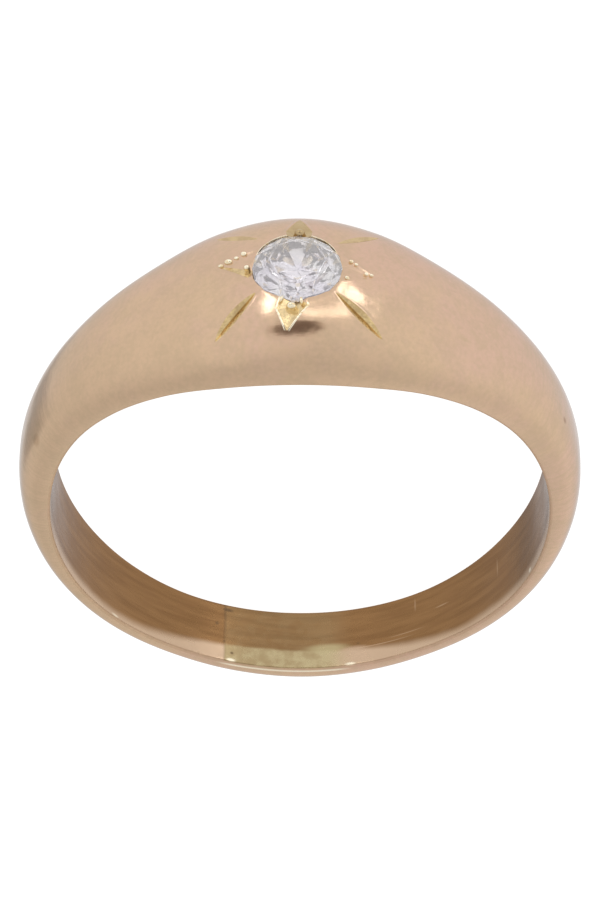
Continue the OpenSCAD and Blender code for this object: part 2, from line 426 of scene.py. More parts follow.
def lip_along(cut, a, length):
    """Share of the lips' height at distances a along a cut."""
    if cut.is_ray:
        return np.clip((length - a) / LIP_RUN_OUT, 0, 1) * np.clip(a / LIP_RISE + LIP_AT_START, 0, 1)
    return np.sin(np.pi * np.clip(a / length, 0, 1)) ** SLIT_LIP_FULLNESS


def cut_relief(k, directions):
    """Height of ring k's columns from the cuts and their raised lips, and their finish."""
    height = np.zeros(COLUMNS)
    finish = np.full(COLUMNS, BAND)
    places = flat(directions, ring_reach(directions, k))
    first = 0
    for cut in CUTS:
        half = half_columns(cut)
        middle = LIP_COLUMNS + half
        columns = np.arange(first, first + 2 * middle + 1)
        step = columns - first
        edge = np.minimum(step, 2 * middle - step)
        start, ahead, length = cut_axis(cut)
        a = (places[columns] - start) @ ahead
        depth = cut_widths(cut, a, length)[3]
        v = np.clip((edge - LIP_COLUMNS) / half, 0, 1)
        lip = np.sin(np.pi * np.clip(edge / LIP_COLUMNS, 0, 1))
        lip_height = RAY_LIP if cut.is_ray else SLIT_LIP
        height[columns] = -depth * v + lip_height * lip * lip_along(cut, a, length)
        inside = (a > (-OVERHANG if cut.is_ray else 0)) & (a < length)
        bright = np.where(step < middle, cut.polish & BELOW, cut.polish & ABOVE) > 0
        bright = bright | ((step == middle) & (cut.polish > 0))
        finish[columns[(edge >= LIP_COLUMNS) & inside & bright]] = CUT
        # Lips take the pale finish, whose colour is a painted highlight
        if cut.polish & LIPS:
            finish[columns[(edge < LIP_COLUMNS) & inside]] = BRIGHT
        first += 2 * middle + GAP_COLUMNS
    return height, finish


def ridge_height(from_rim, directions):
    """Height of the ridge that burnishing pressed up round the rim."""
    ridge = RIDGE * np.exp(-((from_rim - RIDGE_MIDDLE) / RIDGE_WIDTH) ** 2)
    far = FAR_RIDGE * smooth(-np.sin(directions), *FAR_RIDGE_SIDE) * np.exp(-(from_rim / RIDGE_WIDTH) ** 2)
    return ridge + far


def rim_highlight(k, directions):
    """Columns of ring k where the burnished rim gets a painted highlight."""
    degrees = np.degrees(directions) % 360
    within = np.zeros(len(directions), bool)
    for low, high in RIM_HIGHLIGHT_SPANS:
        within |= (degrees > low) & (degrees < high)
    return within & (k < RIM_HIGHLIGHT_RINGS)


def corner_column():
    """Column of the first slit's deepest line, where the crown's grid has its first corner."""
    return sum(column_plan()[:KNOTS]) + LIP_COLUMNS + HALF_SLIT_COLUMNS


def rectangle(at):
    """Boundary points for all columns, from the first slit's corner: at(x, y) with x and y in -1 to 1."""
    t = np.arange(SIDE_COLUMNS) / SIDE_COLUMNS
    sides = [at(1 - 2 * t, 1), at(-1, 1 - 2 * t), at(2 * t - 1, -1), at(1, 2 * t - 1)]
    return np.roll(np.concatenate(sides), corner_column(), axis=0)


def pair(a, b):
    """Two numbers for each place, side by side."""
    return np.stack(np.broadcast_arrays(a, b), -1).astype(float)


def crown_rings():
    """Rings of points over the dome, from the rim of the opening to the crown's boundary."""
    rings = []
    finishes = []
    count = len(RIM_RINGS) + OVAL_RINGS
    for k in range(count):
        directions = ring_directions(k)
        reach = ring_reach(directions, k)
        height, finish = cut_relief(k, directions)
        fade = 1 - (k / count) ** RIDGE_END
        ridge = ridge_height(reach - rim_reach(directions), directions)
        height = height + ridge * np.where(finish == CUT, RIDGE_ON_CUTS, 1) * fade
        # The far rim's painted highlight
        finish[rim_highlight(k, directions) & (finish == BAND)] = BRIGHT
        place, _, _, up = flat_frame(reach * np.cos(directions), reach * np.sin(directions))
        rings.append(place + up * height[:, None])
        finishes.append(finish)
    last = np.stack(from_flat(reach * np.cos(directions), reach * np.sin(directions)), -1)
    border = rectangle(lambda x, y: pair(CROWN_HALF * x, 90.0 * y))
    for k in range(1, OUTER_RINGS + 1):
        t = k / OUTER_RINGS
        angle, q = (last * (1 - t) + border * t).T
        rings.append(dome_point(angle, q))
        finishes.append(np.full(COLUMNS, BAND))
    return rings, finishes


def seat_rings(rim):
    """Rings from the rim down the opening, the seat and the drilled hole, to the finger hole."""
    seat_h = GIRDLE_LOW - SEAT_GAP / 2
    cone = PAVILION_H / STONE_R
    turn = np.arctan2(rim[:, 2], rim[:, 0])
    rim_h = -rim[:, 1]
    rim_r = np.hypot(rim[:, 0], rim[:, 2])

    def ring(r, h):
        return np.stack(np.broadcast_arrays(r * np.cos(turn), -h, r * np.sin(turn)), -1)

    slope = SLOPE + FAR_SLOPE * smooth(-np.sin(turn), *FAR_SIDE)
    rings = [ring(rim_r, rim_h - RIM_EDGE), ring(SEAT_R, rim_h - slope),
             ring(SEAT_R, np.minimum(seat_h, rim_h - slope - LEAST_WALL))]
    for t in CONE_STEPS:
        r = SEAT_R + (PILOT_R - SEAT_R) * t
        rings.append(ring(r, seat_h - (SEAT_R - r) * cone))
    low = seat_h - (SEAT_R - PILOT_R) * cone
    bottom = np.sqrt(BORE_R ** 2 - (PILOT_R * np.cos(turn)) ** 2)
    for t in PILOT_STEPS:
        rings.append(ring(PILOT_R, low + (bottom - low) * t))
    return rings


def bore_rings(pilot):
    """Rings over the finger hole's side of the crown, from the drilled hole to the bevels."""
    angle = np.degrees(np.arctan2(pilot[:, 0], -pilot[:, 1]))
    first = pair(angle, pilot[:, 2])

    def border_point(x, y):
        a = CROWN_HALF * x
        return pair(a, (half_w(a) - EDGE_BEVEL) * y)

    border = rectangle(border_point)
    rings = []
    for k in range(1, BORE_RINGS + 1):
        t = k / BORE_RINGS
        a, along = (first * (1 - t) + border * t).T
        rings.append(about_finger(a, BORE_R, along))
    return rings


# Meshes

BEVEL_STEPS = 4
# Degrees between the shank's sections
STATION_STEP = 1.2
# Millimetres within which two corners are one
SAME_PLACE = 1e-4
SHARP_ANGLE = 38
MOST_SIDES = 4


def grid_faces(rows, columns, wrap=True):
    """Faces of a grid of points, which closes from its last column to its first if it wraps."""
    i, j = np.meshgrid(np.arange(rows - 1), np.arange(columns if wrap else columns - 1), indexing="ij")
    a = i * columns + j
    b = i * columns + (j + 1) % columns
    return np.stack([a, b, b + columns, a + columns], -1).reshape(-1, 4)


def bevel(angle, side):
    """Rows of one worn bevel, from the dome's edge into the finger hole."""
    turn = np.radians(np.linspace(0, 90, BEVEL_STEPS + 1))[:, None]
    along = side * (half_w(angle) - EDGE_BEVEL * (1 - np.cos(turn)))
    return about_finger(angle, BORE_R + EDGE_BEVEL * (1 - np.sin(turn)), along).reshape(-1, 3)


def shank_grid():
    """Closed sections from one end of the crown's grid round the back to the other."""
    count = round((360 - 2 * CROWN_HALF) / STATION_STEP)
    sections = []
    for angle in np.linspace(CROWN_HALF, 360 - CROWN_HALF, count + 1):
        t = np.linspace(-1, 1, SIDE_COLUMNS + 1)
        dome = dome_point(angle, 90 * t)
        bore = about_finger(angle, BORE_R, -t[1:-1] * (half_w(angle) - EDGE_BEVEL))
        near = bevel(angle, 1)[1:]
        far = bevel(angle, -1)[:0:-1]
        sections.append(np.concatenate([dome, near, bore, far]))
    return np.concatenate(sections), grid_faces(count + 1, len(sections[0]))


def crown_bevels():
    """The two worn bevels along the crown's grid."""
    angle = np.linspace(-CROWN_HALF, CROWN_HALF, SIDE_COLUMNS + 1)
    faces = grid_faces(BEVEL_STEPS + 1, SIDE_COLUMNS + 1, wrap=False)
    return [(bevel(angle, side), faces) for side in (-1, 1)]


def face_finish(corners):
    """A face is cut where all its corners are, and bright beside a cut's edge."""
    if (corners == CUT).all():
        return CUT
    if (corners == BRIGHT).sum() >= 2 and (corners != BAND).all():
        return BRIGHT
    return BAND


def mesh_object(name, work):
    """An object of gold, in all its finishes."""
    mesh = bpy.data.meshes.new(name)
    work.to_mesh(mesh)
    work.free()
    for material in GOLD:
        mesh.materials.append(material)
    obj = bpy.data.objects.new(name, mesh)
    bpy.context.scene.collection.objects.link(obj)
    return obj


def band_blank():
    """The whole band as one closed mesh, with its seat and its cuts."""
    over, finishes = crown_rings()
    under = seat_rings(over[0])
    through = bore_rings(under[-1])
    rings = through[::-1] + under[::-1] + over
    grids = [(np.concatenate(rings), grid_faces(len(rings), COLUMNS)), shank_grid()] + crown_bevels()
    # The opening's wall, the seat and the drilled hole take the pale finish: its painted highlight
    # lightens the shade in the gap round the stone
    inner = [np.full(len(through) * COLUMNS, BAND), np.full(len(under) * COLUMNS, BRIGHT)]
    of_crown = np.concatenate(inner + finishes)
    points = np.concatenate([g[0] for g in grids])
    starts = np.cumsum([0] + [len(g[0]) for g in grids])
    faces = np.concatenate([g[1] + start for g, start in zip(grids, starts)])
    finish = np.full(len(points), BAND)
    finish[:len(of_crown)] = of_crown
    work = bmesh.new()
    vertices = [work.verts.new(p) for p in points]
    for face in faces:
        made = work.faces.new([vertices[i] for i in face])
        made.smooth = True
        made.material_index = face_finish(finish[face])
    bmesh.ops.remove_doubles(work, verts=work.verts, dist=SAME_PLACE)
    bmesh.ops.recalc_face_normals(work, faces=work.faces)
    return mesh_object("band_blank", work)


def grains():
    """All the raised grains and beads, as stretched balls half sunk in the metal."""
    work = bmesh.new()
    for direction, reach, radius, stretch, lift, finish in GRAINS:
        d = math.radians(direction)
        u = np.array(reach * math.cos(d))
        v = np.array(reach * math.sin(d))
        place, along_u, along_v, up = flat_frame(u, v)
        out = unit(along_u * math.cos(d) + along_v * math.sin(d))
        across = np.cross(up, out)
        ball = bmesh.ops.create_icosphere(work, subdivisions=GRAIN_SUBDIVISIONS, radius=1)
        for vertex in ball["verts"]:
            x, y, z = vertex.co
            middle = place + up * (lift + ROOT * min(0, z))
            vertex.co = Vector(middle + radius * (out * x * stretch + across * y + up * z))
            for face in vertex.link_faces:
                face.smooth = True
                face.material_index = finish
    return mesh_object("grains", work)


def unite(base, tool):
    """Makes the tool part of the base's closed mesh."""
    modifier = base.modifiers.new(tool.name, "BOOLEAN")
    modifier.solver = "EXACT"
    modifier.operation = "UNION"
    modifier.object = tool
    modifier.use_self = True
    bpy.context.view_layer.update()
    evaluated = base.evaluated_get(bpy.context.evaluated_depsgraph_get())
    mesh = bpy.data.meshes.new_from_object(evaluated)
    base.modifiers.clear()
    base.data = mesh
    bpy.data.objects.remove(tool)


def sharpen(mesh):
    """Crisp edges between finishes and wherever the metal turns sharply, and no many-sided faces."""
    mesh.set_sharp_from_angle(angle=math.radians(SHARP_ANGLE))
    work = bmesh.new()
    work.from_mesh(mesh)
    for edge in work.edges:
        if len({face.material_index for face in edge.link_faces}) > 1:
            edge.smooth = False
    many_sided = [face for face in work.faces if len(face.verts) > MOST_SIDES]
    bmesh.ops.triangulate(work, faces=many_sided)
    work.to_mesh(mesh)
    work.free()


def keep_upright_places(mesh):
    """Upright millimetres of every vertex, for the metal's materials."""
    places = mesh.attributes.new("upright", "FLOAT_VECTOR", "POINT")
    co = np.empty(len(mesh.vertices) * 3, np.float32)
    mesh.vertices.foreach_get("co", co)
    places.data.foreach_set("vector", co)


def ring_gold():
    """The band with its grains, laid on its side."""
    band = band_blank()
    unite(band, grains())
    sharpen(band.data)
    keep_upright_places(band.data)
    band.name = "ring_gold"
    band.data.transform(LAID)
    return band


# Materials

class Number:
    """A number that nodes work out, for plain arithmetic."""

    def __init__(self, graph, socket):
        self.graph = graph
        self.socket = socket

    def __add__(self, other):
        return self.graph.math("ADD", self, other)

    def __sub__(self, other):
        return self.graph.math("SUBTRACT", self, other)

    def __rsub__(self, other):
        return self.graph.math("SUBTRACT", other, self)

    def __mul__(self, other):
        return self.graph.math("MULTIPLY", self, other)

    def __truediv__(self, other):
        return self.graph.math("DIVIDE", self, other)

    def __neg__(self):
        return self * -1.0

    def __abs__(self):
        return self.graph.math("ABSOLUTE", self)


class Graph:
    """Short ways to write nodes. Vectors and colours are sockets, and other results are Numbers."""

    def __init__(self, tree):
        self.tree = tree

    def put(self, socket, value):
        if isinstance(value, Number):
            value = value.socket
        if isinstance(value, bpy.types.NodeSocket):
            self.tree.links.new(value, socket)
        else:
            socket.default_value = value

    def node(self, kind, *values):
        """A new node, with the values put into its first sockets."""
        node = self.tree.nodes.new(kind)
        for socket, value in zip(node.inputs, values):
            self.put(socket, value)
        return node

    def math(self, operation, *values):
        node = self.node("ShaderNodeMath", *values)
        node.operation = operation
        return Number(self, node.outputs[0])

    def length(self, vector):
        node = self.node("ShaderNodeVectorMath", vector)
        node.operation = "LENGTH"
        return Number(self, node.outputs["Value"])

    def dot(self, vector, other):
        node = self.node("ShaderNodeVectorMath", vector, other)
        node.operation = "DOT_PRODUCT"
        return Number(self, node.outputs["Value"])

    def hypot(self, a, b):
        return self.math("SQRT", a * a + b * b)

    def ramp(self, value, low, high, at_low=0.0, at_high=1.0, linear=False):
        node = self.tree.nodes.new("ShaderNodeMapRange")
        node.interpolation_type = "LINEAR" if linear else "SMOOTHSTEP"
        for name, number in zip(("Value", "From Min", "From Max", "To Min", "To Max"),
                                (value, low, high, at_low, at_high)):
            self.put(node.inputs[name], number)
        return Number(self, node.outputs["Result"])

    def mix(self, factor, first, second):
        node = self.tree.nodes.new("ShaderNodeMix")
        node.data_type = "RGBA"
        for name, value in (("Factor_Float", factor), ("A_Color", first), ("B_Color", second)):
            socket = next(s for s in node.inputs if s.identifier == name)
            self.put(socket, (*value, 1) if isinstance(value, tuple) else value)
        return next(s for s in node.outputs if s.identifier == "Result_Color")

    def noise(self, place, scale, detail=2.0, roughness=0.5):
        node = self.tree.nodes.new("ShaderNodeTexNoise")
        for name, value in (("Vector", place), ("Scale", scale), ("Detail", detail),
                            ("Roughness", roughness)):
            self.put(node.inputs[name], value)
        return Number(self, node.outputs["Fac"])

    def lines(self, turn, z, a_degree, a_mm):
        """Noise drawn out round or along the finger, by its changes for a degree and a millimetre."""
        return self.noise(self.join(turn * a_degree, z * a_mm, 0.0), scale=1.0, detail=3.0, roughness=0.6)

    def upright(self):
        """The metal's places in millimetres on the upright ring."""
        node = self.tree.nodes.new("ShaderNodeAttribute")
        node.attribute_name = "upright"
        return node.outputs["Vector"]

    def split(self, vector):
        node = self.node("ShaderNodeSeparateXYZ", vector)
        return [Number(self, socket) for socket in node.outputs]

    def join(self, x, y, z):
        return self.node("ShaderNodeCombineXYZ", x, y, z).outputs[0]

    def bump(self, height, distance):
        node = self.tree.nodes.new("ShaderNodeBump")
        self.put(node.inputs["Height"], height)
        self.put(node.inputs["Distance"], distance)
        self.put(node.inputs["Strength"], 1.0)
        return node.outputs["Normal"]


def new_material(name):
    material = bpy.data.materials.new(name)
    material.use_nodes = True
    nodes = material.node_tree.nodes
    nodes.clear()
    shader = nodes.new("ShaderNodeBsdfPrincipled")
    output = nodes.new("ShaderNodeOutputMaterial")
    material.node_tree.links.new(shader.outputs["BSDF"], output.inputs["Surface"])
    return material, Graph(material.node_tree), shader


# Colours of the gold
YELLOW = (0.680, 0.480, 0.318)
ROSY = (0.692, 0.467, 0.348)
OLIVE = (0.560, 0.420, 0.270)
# Browns painted as shade in the finger hole, the reflection of the ring's dark inside; DARK_BROWN also
# marks two dark spots on the flanks
DARK_BROWN = (0.290, 0.155, 0.065)
DARKER_BROWN = (0.235, 0.122, 0.050)
# A paler painted reflection in the finger hole, towards its near side
PALE_INSIDE_REFLECTION = (0.590, 0.420, 0.285)
SOLDER = (0.540, 0.450, 0.250)
SOLDER_DARK = (0.400, 0.300, 0.150)
PIT = (0.120, 0.075, 0.042)
GREYISH = (0.290, 0.200, 0.135)
CUT_YELLOW = (0.800, 0.600, 0.310)
CUT_OLIVE = (0.560, 0.405, 0.205)
CUT_FAR_SHADE = (0.460, 0.340, 0.190)
# Paler than gold can be: the colour of painted highlights and glints
HIGHLIGHT_YELLOW = (1.000, 0.910, 0.710)

# Marks on the metal. Columns: colour, strength, degrees from the back, millimetres along the
# finger, half of its size in degrees and in millimetres.
INNER_MARKS = [
    (PIT, 0.75, 18.2, -1.16, 1.20, 0.08),
    (PIT, 0.60, 21.0, -0.38, 0.40, 0.08),
    (PIT, 0.45, 19.1, 0.45, 0.35, 0.06),
    (PIT, 0.75, 17.1, 0.97, 0.38, 0.06),
    (SOLDER, 0.75, -6.0, 0.46, 4.50, 0.20),
    (PALE_INSIDE_REFLECTION, 0.60, -12.5, 0.62, 3.00, 0.14),
    # Painted highlights: glints on the finger hole's edges
    (HIGHLIGHT_YELLOW, 0.90, 17.3, 1.32, 1.00, 0.07),
    (HIGHLIGHT_YELLOW, 0.80, -11.7, 1.34, 1.10, 0.07),
    (HIGHLIGHT_YELLOW, 0.80, -69.2, 1.52, 0.55, 0.09),
    (HIGHLIGHT_YELLOW, 0.50, 50.2, 1.50, 1.00, 0.05),
    (PIT, 0.35, -13.7, 0.36, 0.40, 0.05),
    (YELLOW, 0.50, -19.0, 0.60, 7.20, 0.018),
    (YELLOW, 0.40, -26.0, 0.40, 4.00, 0.016),
    (YELLOW, 0.35, -36.0, -0.30, 1.60, 0.030),
    (YELLOW, 0.30, -54.5, -0.40, 0.16, 0.38),
    (YELLOW, 0.30, -28.5, -0.85, 0.16, 0.26),
]
OUTER_MARKS = [
    (ROSY, 0.60, -157.8, 1.21, 0.45, 0.10),
    (DARK_BROWN, 0.55, -113.5, 0.78, 0.70, 0.10),
    (DARK_BROWN, 0.30, 112.2, 1.42, 1.30, 0.16),
    (OLIVE, 0.50, -146.0, 1.05, 1.40, 0.09),
]
# How much of a mark's size, inside and outside its edge, it takes to fade
MARK_FADE = 0.6
# Heights over the finger hole's wall at which its colours, its smoothness and the rougher bevels
# start and are full
BORE_COLOURS = (0.03, 0.005)
BORE_SMOOTH = (0.003, 0.0)
BEVEL_DULL = (0.15, 0.08)
# Roughness of the satin gold, and what the bevels add and the finger hole takes away
SATIN = (0.11, 0.18)
BEVEL_ADDS = 0.42
BORE_TAKES = 0.29
# Middle height and half widths of the painted highlight along the back's near edge
EDGE_HIGHLIGHT_MIDDLE = 0.13
EDGE_HIGHLIGHT_HALF = (0.07, 0.02)


def marked(g, colour, turn, z, marks):
    """The colour with soft oval marks laid over it."""
    for mark_colour, strength, at_turn, at_z, half_turn, half_z in marks:
        distance = g.hypot((turn - at_turn) / half_turn, (z - at_z) / half_z)
        mark = g.ramp(distance, 1 + MARK_FADE, 1 - MARK_FADE)
        colour = g.mix(mark * strength, colour, mark_colour)
    return colour


def outside_colour(g, place, r, turn):
    """Yellow and rosy clouds, finely mottled, with brushed streaks on the flanks that also darken them as
    painted shade, and a painted highlight along the back's near edge.
    """
    x, _, z = g.split(place)
    cloud = g.noise(place, scale=0.35, detail=3.0)
    mottle = g.noise(place, scale=1.7, detail=5.0, roughness=0.62)
    front = g.ramp(z, -1.0, 3.2, at_high=0.12)
    tint = cloud * 0.6 + mottle * 0.4 + x * -0.014 - front
    colour = g.mix(g.ramp(tint, 0.32, 0.62), YELLOW, ROSY)
    # The flanks' olive streaks are brushed lines, and painted shade that darkens the outline's edges
    streaks = g.lines(turn, z, 1.3, 0.5)
    flank = g.ramp(abs(x), 6.0, 10.0) * g.ramp(streaks, 0.40, 0.65)
    colour = g.mix(flank * 0.40, colour, OLIVE)
    speckle = mottle * 0.5 + g.noise(place, scale=6.0, detail=3.0) * 0.5
    speckle = speckle + (g.noise(place, scale=0.8) - 0.5) * 0.35
    colour = g.mix(g.ramp(speckle, 0.40, 0.62, at_high=0.50, linear=True), colour, OLIVE)
    # A painted highlight runs along the near edge of the back, where the edge catches the light
    edge_highlight = g.ramp(abs(r - (BORE_R + EDGE_HIGHLIGHT_MIDDLE)), *EDGE_HIGHLIGHT_HALF)
    edge_highlight = edge_highlight * g.ramp(z, 1.0, 1.3)
    edge_highlight = edge_highlight * g.ramp(abs(turn - 4.5), 17.0, 12.0, at_high=0.8)
    colour = g.mix(edge_highlight, colour, HIGHLIGHT_YELLOW)
    return marked(g, colour, turn, z, OUTER_MARKS)


def inside_colour(g, place, turn):
    """Painted reflections in the finger hole: dark painted shade towards the back's far side, a paler
    painted reflection towards its near side, and the soldered seam.
    """
    z = g.split(place)[2]
    streaks = g.lines(turn, z, 0.05, 3.0)
    # The far part is painted shade: dark browns, turning grey at the sides and to plain yellow gold
    # towards the crown
    far_colour = g.mix(g.ramp(streaks, 0.35, 0.68), DARK_BROWN, DARKER_BROWN)
    far_colour = g.mix(g.ramp(abs(turn), 80.0, 96.0), far_colour, GREYISH)
    far_colour = g.mix(g.ramp(abs(turn), 98.0, 115.0), far_colour, YELLOW)
    # The paler painted reflection ends at a wandering border, which is nearer the middle of the band at
    # the back
    wobble = (g.noise(place, scale=0.6, detail=3.0) - 0.5) * 0.22
    from_back = abs(turn - 3.0)
    past_border = z + wobble - g.ramp(from_back, 10.0, 50.0, 0.58, 1.34)
    soft = g.ramp(from_back, 8.0, 34.0, 0.09, 0.26)
    colour = g.mix(g.ramp(past_border, -soft, soft), far_colour, PALE_INSIDE_REFLECTION)
    # Solder runs from the seam towards -X and fades out
    from_seam = turn - (wobble * 2.5 + 19.0)
    soldered = g.ramp(turn, -13.0, -5.0) * g.ramp(from_seam, 0.3, -0.3)
    fine = g.noise(place, scale=2.2, detail=4.0, roughness=0.6)
    solder = g.mix(g.ramp(fine + turn * 0.009, 0.36, 0.74), SOLDER, SOLDER_DARK)
    colour = g.mix(soldered * g.ramp(past_border, -0.14, 0.06, 0.15, 0.85), colour, solder)
    seam = g.ramp(abs(from_seam), 0.6, 0.1) * g.ramp(z, -1.3, 0.8, 0.42, 0.2)
    colour = g.mix(seam, colour, PIT)
    return marked(g, colour, turn, z, INNER_MARKS)


def worn_height(g, place, turn):
    """Hand-polished waves, brushed lines along the finger and fine scratches round it."""
    x, _, z = g.split(place)
    waves = g.noise(place, scale=0.9) * 1.6
    brushed = g.lines(turn, z, 1.1, 0.25)
    scratched = g.lines(turn, z, 0.08, 7.0)
    fine = g.noise(place, scale=6.0, detail=4.0, roughness=0.6)
    flank = g.ramp(abs(x), 4.0, 9.0, 0.06, 0.30)
    return waves + brushed * flank + scratched * 0.15 + fine * 0.12


def band_gold():
    """Worn satin gold, rougher on the bevels and less rough in the finger hole, with painted reflections
    in the finger hole.
    """
    material, g, shader = new_material("band_gold")
    place = g.upright()
    x, y, _ = g.split(place)
    r = g.length(g.join(x, y, 0.0))
    # Degrees round the finger from the back, growing towards +X
    turn = g.math("ARCTAN2", x, y) * DEGREES

    def low_down(heights, full=1.0):
        """Grows on the way down to the finger hole's wall, between two heights over it."""
        start, end = heights
        return g.ramp(r, BORE_R + start, BORE_R + end, at_high=full)

    inside = low_down(BORE_COLOURS)
    colour = g.mix(inside, outside_colour(g, place, r, turn), inside_colour(g, place, turn))
    g.put(shader.inputs["Base Color"], colour)
    shader.inputs["Metallic"].default_value = 1
    shader.inputs["Specular Tint"].default_value = (0.80, 0.80, 0.82, 1)
    clouds = g.noise(place, scale=1.1, detail=5.0, roughness=0.65)
    satin = g.ramp(clouds, 0.3, 0.7, *SATIN)
    roughness = satin + low_down(BEVEL_DULL, BEVEL_ADDS) - low_down(BORE_SMOOTH, BORE_TAKES)
    g.put(shader.inputs["Roughness"], roughness)
    g.put(shader.inputs["Normal"], g.bump(worn_height(g, place, turn), 0.012 * MM))
    return material


def cut_gold():
    """Fresh yellow gold of the cuts, with painted shade that darkens it towards the far side and a faint
    painted highlight towards the near side.
    """
    material, g, shader = new_material("cut_gold")
    place = g.upright()
    x, _, z = g.split(place)
    tint = g.noise(place, scale=3.0) * 0.6 + g.noise(place, scale=14.0, detail=3.0) * 0.4
    colour = g.mix(g.ramp(tint, 0.36, 0.64), CUT_YELLOW, CUT_OLIVE)
    beside = g.ramp(abs(x), 0.8, 1.3)
    far = g.ramp(z, 0.5, -1.5)
    near = g.ramp(z, 1.3, 1.6)
    # Painted shade on the far side's cuts, and a faint painted highlight on the near side's
    colour = g.mix(far * beside * 0.55, colour, OLIVE)
    colour = g.mix(far * (1.0 - beside) * 0.75, colour, CUT_FAR_SHADE)
    colour = g.mix(near * (1.0 - beside) * 0.10, colour, HIGHLIGHT_YELLOW)
    g.put(shader.inputs["Base Color"], colour)
    shader.inputs["Metallic"].default_value = 1
    g.put(shader.inputs["Roughness"], g.ramp(g.noise(place, scale=9.0, detail=3.0), 0.3, 0.7, 0.10, 0.2))
    g.put(shader.inputs["Normal"], g.bump(g.noise(place, scale=11.0, detail=3.0), 0.01 * MM))
    return material


def bright_gold():
    """Pale burnished gold of the grains, the lips, the rim and the stone's seat, whose colour is a painted
    highlight, paler than gold can be.
    """
    material, g, shader = new_material("bright_gold")
    tint = g.ramp(g.noise(g.upright(), scale=8.0), 0.4, 0.8)
    g.put(shader.inputs["Base Color"], g.mix(tint, HIGHLIGHT_YELLOW, CUT_YELLOW))
    shader.inputs["Metallic"].default_value = 1
    shader.inputs["Roughness"].default_value = 0.18
    return material


def stone_crystal():
    """Clear stone, beige towards its far side and lavender towards its near side, a little worn."""
    material, g, shader = new_material("stone_crystal")
    place = g.tree.nodes.new("ShaderNodeTexCoord").outputs["Object"]
    grain = g.noise(place, scale=0.9 / MM, detail=1.0)
    cast = g.ramp(grain, 0.42, 0.60)
    beige = g.mix(cast, (1.0, 0.965, 0.950), (0.930, 0.875, 0.875))
    lavender = g.mix(cast, (1.0, 0.985, 0.990), (0.910, 0.865, 0.970))
    middle = (LAID @ Vector((0, -CREST_R, 0))).z
    near = g.ramp(g.split(place)[2], middle - 0.6 * MM, middle + 0.4 * MM)
    g.put(shader.inputs["Base Color"], g.mix(near, beige, lavender))
    shader.inputs["Roughness"].default_value = 0.03
    shader.inputs["IOR"].default_value = 2.42
    shader.inputs["Transmission Weight"].default_value = 0.86
    # An even faint glow stands for light that is thrown back and forth in the stone
    shader.inputs["Emission Color"].default_value = (1, 0.93, 0.95, 1)
    shader.inputs["Emission Strength"].default_value = 0.017
    # Its table is polished flatter than the facets round it
    table_face = LAID @ Vector((0, -TABLE_H, 0))
    axis = (LAID.to_3x3() @ Vector((0, -1, 0))).normalized()
    below_table = table_face.dot(axis) - g.dot(place, tuple(axis))
    wear = g.ramp(below_table, 0.02 * MM, 0.12 * MM, at_low=0.25)
    g.put(shader.inputs["Normal"], g.bump(grain * wear, 0.08 * MM))
    return material


def floor_pale():
    """Evenly pale, with a glow of its own."""
    material, _, shader = new_material("floor_pale")
    shader.inputs["Base Color"].default_value = (0.3, 0.3, 0.3, 1)
    shader.inputs["Roughness"].default_value = 1
    shader.inputs["Specular IOR Level"].default_value = 0
    shader.inputs["Emission Color"].default_value = (1, 1, 1, 1)
    shader.inputs["Emission Strength"].default_value = 0.92
    return material


# Floor, light and camera

FLOOR_HALF = 1.0

# Places on the tent, in degrees towards the picture's right from straight in front of the crown,
# and in degrees up. Columns: middle, half size, tilt, bend.
BRIGHTER_FRONT = ((-32, 36), (40, 24))
DARK_CORNER = ((-123, -37), (16, 17), -0.9)
OPENING = ((-0.9, 17.3), (19.2, 8.7), 0.08, 0.012)
LAMP_ARCH = ((6, -22), (28, 20.5))
LAMP_RIGHT = ((34.2, -25.5), (3.4, 6.0))
LAMP_LEFT = ((-21.8, -13.5), (3.3, 9.0), -1.5)
# Light of the tent level with the floor and overhead, its share towards the shaded side, and
# what its places add or take away
LEVEL = 0.99
OVERHEAD = 0.76
SHADED_SIDE = (0.82, 0.57, 0.0)
SHADED = 0.84
FRONT_ADDS = 0.07
CORNER_TAKES = 0.32
OPENING_TAKES = 0.78
LOBES_ADD = 2.6
WHITE = (1.0, 1.0, 1.0)
WARM = (1.0, 0.80, 0.72)

# The photo's view of the upright ring
VIEW_FROM_AXIS = 48.044
VIEW_YAW = 0.828
VIEW_ROLL = -0.737
VIEW_DISTANCE = 150.0
PIXELS_PER_MM = 26.758
CENTRE_PX = (300.0, 482.1)
PICTURE_PX = (600, 900)
SENSOR_MM = 36
CLIP_START = 0.01


def floor():
    half = FLOOR_HALF
    mesh = bpy.data.meshes.new("floor")
    corners = [(-half, -half, 0), (half, -half, 0), (half, half, 0), (-half, half, 0)]
    mesh.from_pydata(corners, [], [(0, 1, 2, 3)])
    mesh.materials.append(floor_pale())
    obj = bpy.data.objects.new("floor", mesh)
    bpy.context.scene.collection.objects.link(obj)
    # Gloss shows the tent below the horizon too, with its lamp and its dark corner
    obj.visible_glossy = False


def about(g, right, up, middle, half, tilt=0.0, bend=0.0):
    """Distance of a direction from the middle of an oval on the tent, in its half sizes."""
    a = right - middle[0]
    b = up - middle[1] + a * (a * bend + tilt)
    return g.hypot(a / half[0], b / half[1])


